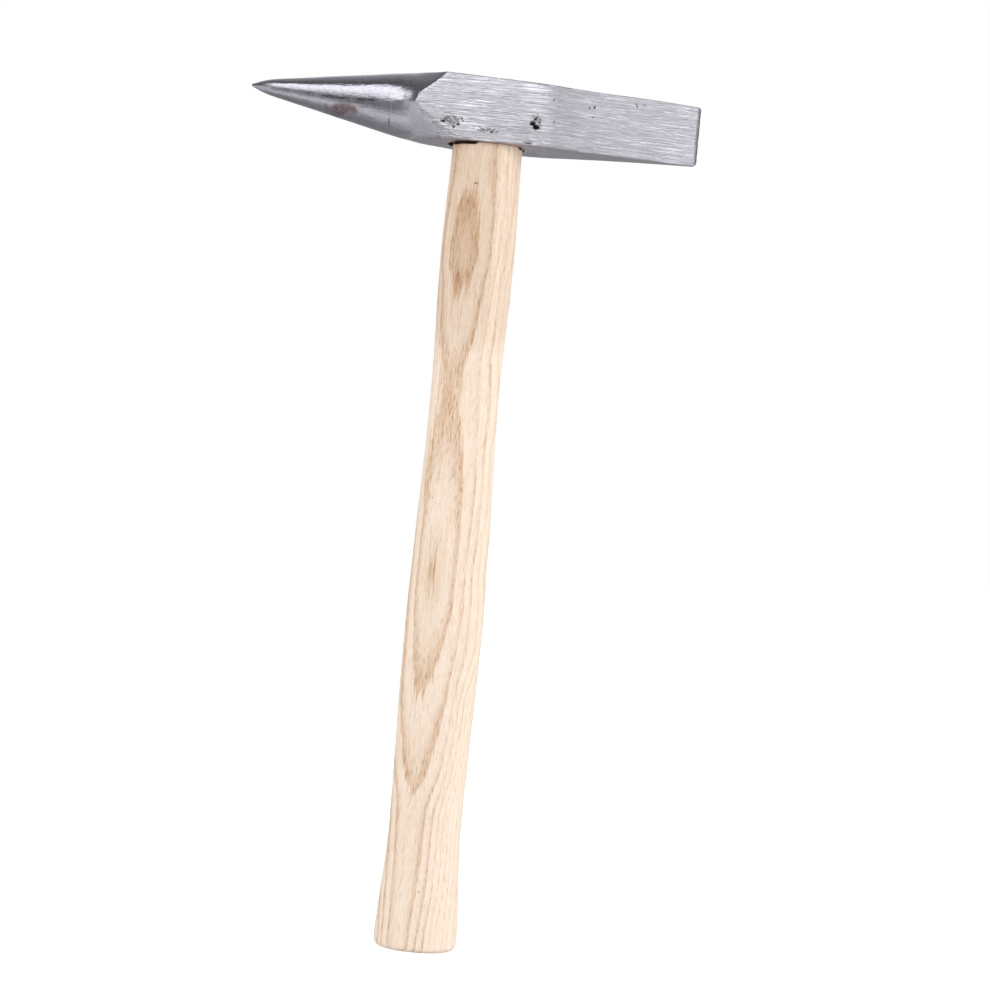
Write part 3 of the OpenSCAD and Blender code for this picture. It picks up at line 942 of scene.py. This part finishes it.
# How the growth rings cross the front of the handle: the ring number on the centre line of the arches,
# where that line lies, and how far to its left and right the number has fallen by one
RING_NUMBER = [
    (-10, -0.24), (0, -0.2), (30, -0.2), (45, -0.12), (53, 0), (61, 0.34), (72, 0.56), (81, 0.8), (87, 1),
    (100, 1.36), (112, 1.68), (121, 1.96), (130, 2), (139, 1.96), (150, 1.75), (165, 1.48), (178, 1.29),
    (192, 1.16), (205, 1.36), (213, 1.73), (223, 2), (228, 2.12), (239, 2.44), (251, 2.29), (263, 2.04),
    (276, 1.88),
]
ARCH_CENTRE = [(0, -5.2), (60, -5.2), (90, -5.8), (130, -5.4), (192, -5.1), (240, -4.4), (276, -3.8)]
LEFT_WIDTH = [
    (0, 4.6), (30, 5.1), (48, 5.3), (67, 6.8), (81, 7.1), (100, 6), (130, 5.3), (150, 6), (165, 8.4),
    (192, 9.6), (205, 8.2), (213, 6.5), (225, 6.2), (240, 7.15), (262, 7.3),
]
RIGHT_WIDTH = [
    (0, 4.1), (30, 5.8), (45, 5.8), (61, 7.8), (81, 9.9), (108, 9.3), (130, 8.3), (150, 9.8), (165, 11),
    (192, 9.8), (205, 8.6), (223, 7.8), (240, 7.5), (262, 8.1),
]
# How steeply the number falls on each side, and how much more beyond FAR_RIGHT
LEFT_POWER = [(205, 2), (228, 3)]
RIGHT_POWER = [(0, 1.35), (30, 1.8), (45, 1.85), (61, 2)]
FALL_FAR_RIGHT = [
    (0, 0), (45, 0), (61, 0.018), (81, 0.024), (105, 0), (120, 0), (150, 0.009), (170, 0.014), (190, 0),
    (225, 0), (240, -0.006),
]
FAR_RIGHT = 2.0
# Rings to a millimetre of depth, and how the number falls across the rear
RINGS_PER_MM, REAR_FALL = 0.36, 0.005
# Grime near the head, with painted shade right under it where it rises to 0.66: along the handle, and across
# it
GRIME_AND_SHADE = [(203, 0), (212, 0.28), (230, 0.42), (262, 0.44), (274, 0.5), (278, 0.66)]
GRIME_AND_SHADE_ACROSS = [(-12, 1), (3, 0.85), (5, 0.75), (6.4, 0.25), (7.8, 0.25), (9, 0.8), (12, 0.6)]
# How strongly the rings show, from left to right: near the handle's ends, and between them
CONTRAST_ENDS = [(-12, 1), (1.5, 1), (6.5, 0.5), (12, 0.5)]
CONTRAST_MIDDLE = [
    (-12, 1), (1.5, 1), (3.4, 0.4), (5.4, 0.36), (6.7, 0.85), (8.2, 0.85), (9.4, 0.45), (12, 0.45),
]
# Brown stains on the front: x, z, half width, half length, how much
STAINS = (
    (-5.2, 131, 1.7, 10, 1), (-5.2, 128, 5.5, 24, 0.4), (-5.6, 229, 2.2, 8, 0.9),
    (-4.4, 254, 2.8, 10, 0.9), (-3.6, 242, 6.4, 26, 0.42), (-5.4, 266, 1, 7, 0.5),
)
# Small dark dents in the front: x, z, half width, half length
DENTS = (
    (-2.8, 263.4, 0.8, 0.35), (-10.7, 267, 0.3, 0.35), (-7.6, 155.2, 0.3, 0.25), (0.3, 21, 0.3, 0.25),
)


def handle_half(z):
    """Half the handle's width and half its thickness at height z."""
    w = through(HANDLE_WIDTH, z) / 2
    return w, w * through(HANDLE_FLAT, z)


def growth_at(points):
    """Growth ring number anywhere in the handle's wood."""
    x, y, z = points.T
    w, half = handle_half(np.clip(z, 0, UNDER))
    power = through(HANDLE_POWER, z)
    reach = np.clip(np.abs(x - through(HANDLE_LEAN, z)) / w, 0, 1)
    front = -half * (1 - reach**power) ** (1 / power)
    deep = np.clip((y - front) / (2 * half), 0, 1)
    off = x - through(ARCH_CENTRE, z)
    left = (np.abs(off) / through(LEFT_WIDTH, z)) ** through(LEFT_POWER, z)
    right = (np.abs(off) / through(RIGHT_WIDTH, z)) ** through(RIGHT_POWER, z)
    fall = np.where(off < 0, left, right)
    fall += through(FALL_FAR_RIGHT, z) * np.clip(x - FAR_RIGHT, 0, None) ** 2
    fall = fall * (1 - deep) + REAR_FALL * off**2 * deep
    return through(RING_NUMBER, z) - fall - RINGS_PER_MM * (y - front)


def dents_at(points):
    """0.5 at the edge of a small dark dent in the front, 1 inside it."""
    inside = np.zeros(len(points))
    for x, z, rx, rz in DENTS:
        gap = (spot(points, x, z, rx, rz) - 1) * min(rx, rz)
        inside = np.maximum(inside, np.clip(0.5 - gap / 1.8, 0, 1) * (points[:, 1] < 0))
    return inside


def contrast_at(points):
    """How strongly the growth rings show."""
    x, _, z = points.T
    middle = smooth_step(z, 95, 130) * smooth_step(z, 222, 206)
    low = smooth_step(z, 88, 70)
    contrast = through(CONTRAST_ENDS, x) * (1 - middle) + through(CONTRAST_MIDDLE, x) * middle
    return contrast * (1 - 0.4 * low * smooth_step(x, 1.5, 6.5))


def grip_loop(z, inset=0.0, at=None):
    """The handle's section whose size belongs to height z, drawn at height `at`."""
    w, t = handle_half(z)
    e = 2 / through(HANDLE_POWER, z)
    x = (w - inset) * np.sign(RING_COS) * np.abs(RING_COS) ** e
    y = (t - inset) * np.sign(RING_SIN) * np.abs(RING_SIN) ** e
    return np.stack([x + through(HANDLE_LEAN, z), y, np.full(RING_PTS, z if at is None else at)], 1)


def tenon_loop(z, half_w, shrink=1.0):
    """The tenon's section, an oval, made smaller by shrink."""
    x = np.sign(np.round(RING_COS, 6)) * EYE_CENTRE + half_w * RING_COS
    return np.stack([shrink * x, shrink * half_w * RING_SIN, np.full(RING_PTS, z)], 1)


def from_tenon(x, y):
    """Distance from the line between the centres of the tenon's half rounds."""
    return np.hypot(np.clip(np.abs(x) - EYE_CENTRE, 0, None), y)


def even_loop(loop):
    """The same outline with its points spaced evenly along it."""
    closed = np.concatenate([loop, loop[:1]])
    run = np.concatenate([[0], np.cumsum(np.linalg.norm(np.diff(closed, axis=0), axis=1))])
    want = np.linspace(0, run[-1], len(loop) + 1)[:-1]
    return np.stack([np.interp(want, run, closed[:, k]) for k in range(3)], 1)


def tenon_half_w(z):
    """Half width of the tenon: straight in the lower half of the eye, spread by the wedges above."""
    return TENON_HALF_W + TENON_SPREAD * smooth_step(z, UNDER + 11, TENON_TOP + 6)


def handle_loops():
    """The handle's sections, from the middle of its butt to the middle of the tenon's end."""
    loops = [np.array([1, 1, 0]) * grip_loop(0, BUTT_ROUND) * f for f in np.linspace(0.08, 1, 12)]
    for a in np.radians(np.linspace(15, 90, 6)):
        loops.append(grip_loop(0, BUTT_ROUND * (1 - sin(a)), BUTT_ROUND * (1 - cos(a))))
    loops += [grip_loop(z) for z in np.linspace(BUTT_ROUND, UNDER - SHOULDER_ROUND, 276)[1:]]
    top, inner = grip_loop(UNDER, SHOULDER_ROUND), tenon_loop(UNDER, TENON_HALF_W)
    loops += [top * (1 - f) + inner * f for f in (0, 0.35, 0.7)]
    loops += [tenon_loop(z, tenon_half_w(z)) for z in np.linspace(UNDER, TENON_TOP - TENON_ROUND, 24)]
    end = tenon_half_w(TENON_TOP) - TENON_ROUND
    loops += [tenon_loop(TENON_TOP, end, f) for f in (1, *np.linspace(0.92, 0.06, 12))]
    return [even_loop(loop) for loop in loops]


def painted_gap_shade(points):
    """Painted shade: 1 where the tenon and the shoulder face the eye's mouth, so that the gap there looks
    black.
    """
    x, y, z = points.T
    inner = from_tenon(x, y) < TENON_HALF_W + 1.6
    return smooth_step(z, UNDER - 1.2, UNDER - 0.4) * inner * (z < UNDER + 6) * smooth_step(y, -1, -4)


def chip_shoulder(points):
    """Breaks the front left corner of the shoulder away from the head, so that a gap shows."""
    x, y, z = points.T.copy()
    front = smooth_step(y, -2.5, -6.0)
    left = smooth_step(x, -2.6, -4.6) * smooth_step(x, -12.6, -10.8)
    near_top = smooth_step(z, UNDER - 3.5, UNDER) * (z <= UNDER + 0.01)
    outside = from_tenon(x, y) > TENON_HALF_W + 0.02
    points = points.copy()
    points[:, 2] -= CHIP_DROP * front * left * near_top * outside
    return points


def make_handle(wood, cutters):
    loops = handle_loops()
    points = np.concatenate(loops)
    growth = growth_at(points)
    points = chip_shoulder(points)
    x, _, z = points.T
    side = (z > 1) & (z < UNDER - 2)
    uneven = 0.06 * wobble(points, (14, 14, 40), 11) + 0.03 * wobble(points, (5, 5, 12), 12)
    away = points * np.array([1, 1, 0])
    away /= np.linalg.norm(away, axis=1)[:, None] + 1e-9
    points += away * (uneven * side)[:, None]
    handle = to_mesh("ash_handle", points, closed_faces(len(loops), RING_PTS), [wood])
    set_values(
        handle.data,
        growth=growth,
        feather=1 + 2.2 * np.exp(-(((x - through(ARCH_CENTRE, z)) / 5.5) ** 2)),
        contrast=contrast_at(points),
        # Grime near the head, and painted shade right under it
        grime=through(GRIME_AND_SHADE, z) * through(GRIME_AND_SHADE_ACROSS, x),
        stain=zones(points, STAINS, 1, 0.1),
        # Real dark dents, and painted shade in the gap at the eye's mouth
        dent=np.maximum(dents_at(points), painted_gap_shade(points)),
    )
    for cutter in cutters:
        cut(handle, cutter)
    sharpen(handle, 40)
    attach(handle, "root")
    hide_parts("handle")


# ---------------- the wedges

# Each wedge's length, its thickness at top and tip, its depth, and how the steel one is turned
WOOD_WEDGE = dict(length=23.4, top=3.6, tip=0.8, depth=15.0)
STEEL_WEDGE = dict(length=11.5, top=2.4, tip=0.5, depth=11.0, skew=radians(97))
KERF_DEPTH = 19.0
BARBS, BARB_STEP = 4, 0.18


def wedge_loops(length, levels, round_by, turn=0.0, n_side=10):
    """Rectangles of one length whose half thickness is given at each height, with rounded ends."""
    loops = []
    for z, half in levels:
        r = min(round_by, half * 0.9)
        pts = []
        for sx, sy, a0 in ((1, 1, 0), (-1, 1, 90), (-1, -1, 180), (1, -1, 270)):
            for a in np.radians(np.linspace(a0, a0 + 90, 5)):
                pts.append((sx * (length / 2 - r) + r * cos(a), sy * (half - r) + r * sin(a)))
        full = []
        for i, p in enumerate(pts):
            q = pts[(i + 1) % len(pts)]
            steps = n_side if i % 5 == 4 else 1
            full += [tuple(np.array(p) + (np.array(q) - p) * k / steps) for k in range(steps)]
        c, s = cos(turn), sin(turn)
        loops.append([(x * c - y * s, x * s + y * c, z) for x, y in full])
    return np.array(loops)


def half_at(shape, f):
    """A wedge's half thickness at the part f of its way from tip to top."""
    return (shape["tip"] + (shape["top"] - shape["tip"]) * f) / 2


def wedge_levels(shape, top, steps):
    """Height and half thickness of a wedge, from its tip to its top."""
    parts = [i / steps for i in range(steps + 1)]
    return [(top - shape["depth"] * (1 - f), half_at(shape, f)) for f in parts]


def kerf_cutter():
    """The saw kerf, opened by the hardwood wedge."""
    levels = [(TENON_TOP - KERF_DEPTH, WOOD_WEDGE["tip"] / 2)]
    levels += wedge_levels(WOOD_WEDGE, TENON_TOP, 3)
    levels.append((TENON_TOP + 2, WOOD_WEDGE["top"] / 2))
    return loft("kerf_cutter", wedge_loops(40, levels, 0.02), [])


def slot_cutter(name):
    """The slot that the steel wedge splits."""
    levels = wedge_levels(STEEL_WEDGE, TENON_TOP, 2)
    levels.append((TENON_TOP + 2, STEEL_WEDGE["top"] / 2))
    return loft(name, wedge_loops(STEEL_WEDGE["length"], levels, 0.02, STEEL_WEDGE["skew"]), [])


def make_wood_wedge(wood):
    levels = wedge_levels(WOOD_WEDGE, TENON_TOP - 0.12, 8)
    half = levels[-1][1]
    levels += [(TENON_TOP - 0.02, half - 0.1), (TENON_TOP, half - 0.3)]
    wedge = loft("hardwood_wedge", wedge_loops(WOOD_WEDGE["length"], levels, 0.15, n_side=40), [wood])
    points = per_vertex(wedge.data, "co") / MM
    growth = 0.9 * points[:, 1] + 0.02 * points[:, 0] + 0.35
    ones = np.ones(len(points))
    set_values(wedge.data, growth=growth, contrast=ones, feather=ones)
    cut(wedge, slot_cutter("wedge_slot"))
    sharpen(wedge, 40)
    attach(wedge, "root")
    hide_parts("wood_wedge")


def make_steel_wedge(steel):
    """Barbed along its faces, with a top that the hammer has rounded and dented a little."""
    levels = []
    for i in range(BARBS):
        for f, step in ((0.0, -BARB_STEP), (0.9, 0.0)):
            t = (i + f) / BARBS
            half = max(half_at(STEEL_WEDGE, t) + step, 0.12)
            levels.append((TENON_TOP - STEEL_WEDGE["depth"] * (1 - t), half))
    half = STEEL_WEDGE["top"] / 2
    levels += [(TENON_TOP - 0.5, half - 0.03), (TENON_TOP - 0.12, half), (TENON_TOP, half - 0.15)]
    loops = wedge_loops(STEEL_WEDGE["length"] - 0.05, levels, 0.25, STEEL_WEDGE["skew"], n_side=24)
    wedge = loft("barbed_wedge", loops, [steel])
    points = per_vertex(wedge.data, "co") / MM
    top = smooth_step(points[:, 2], TENON_TOP - 1.5, TENON_TOP)
    points[:, 2] -= 0.12 * top * np.clip(wobble(points, (1.6, 1.6, 9), 21), 0, 1)
    set_points(wedge.data, points)
    sharpen(wedge, 35)
    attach(wedge, "root")
    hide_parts("steel_wedge")


# ---------------- the scene

bpy.context.scene.view_settings.view_transform = "Standard"
make_camera()
make_world()
make_lights()
make_floor(plain_floor())
make_head(ground_steel(), forge_scale())
make_handle(ash("ash", *HANDLE_WOOD), [kerf_cutter(), slot_cutter("tenon_slot")])
make_wood_wedge(ash("wedge_wood", *WEDGE_WOOD))
make_steel_wedge(dark_steel())
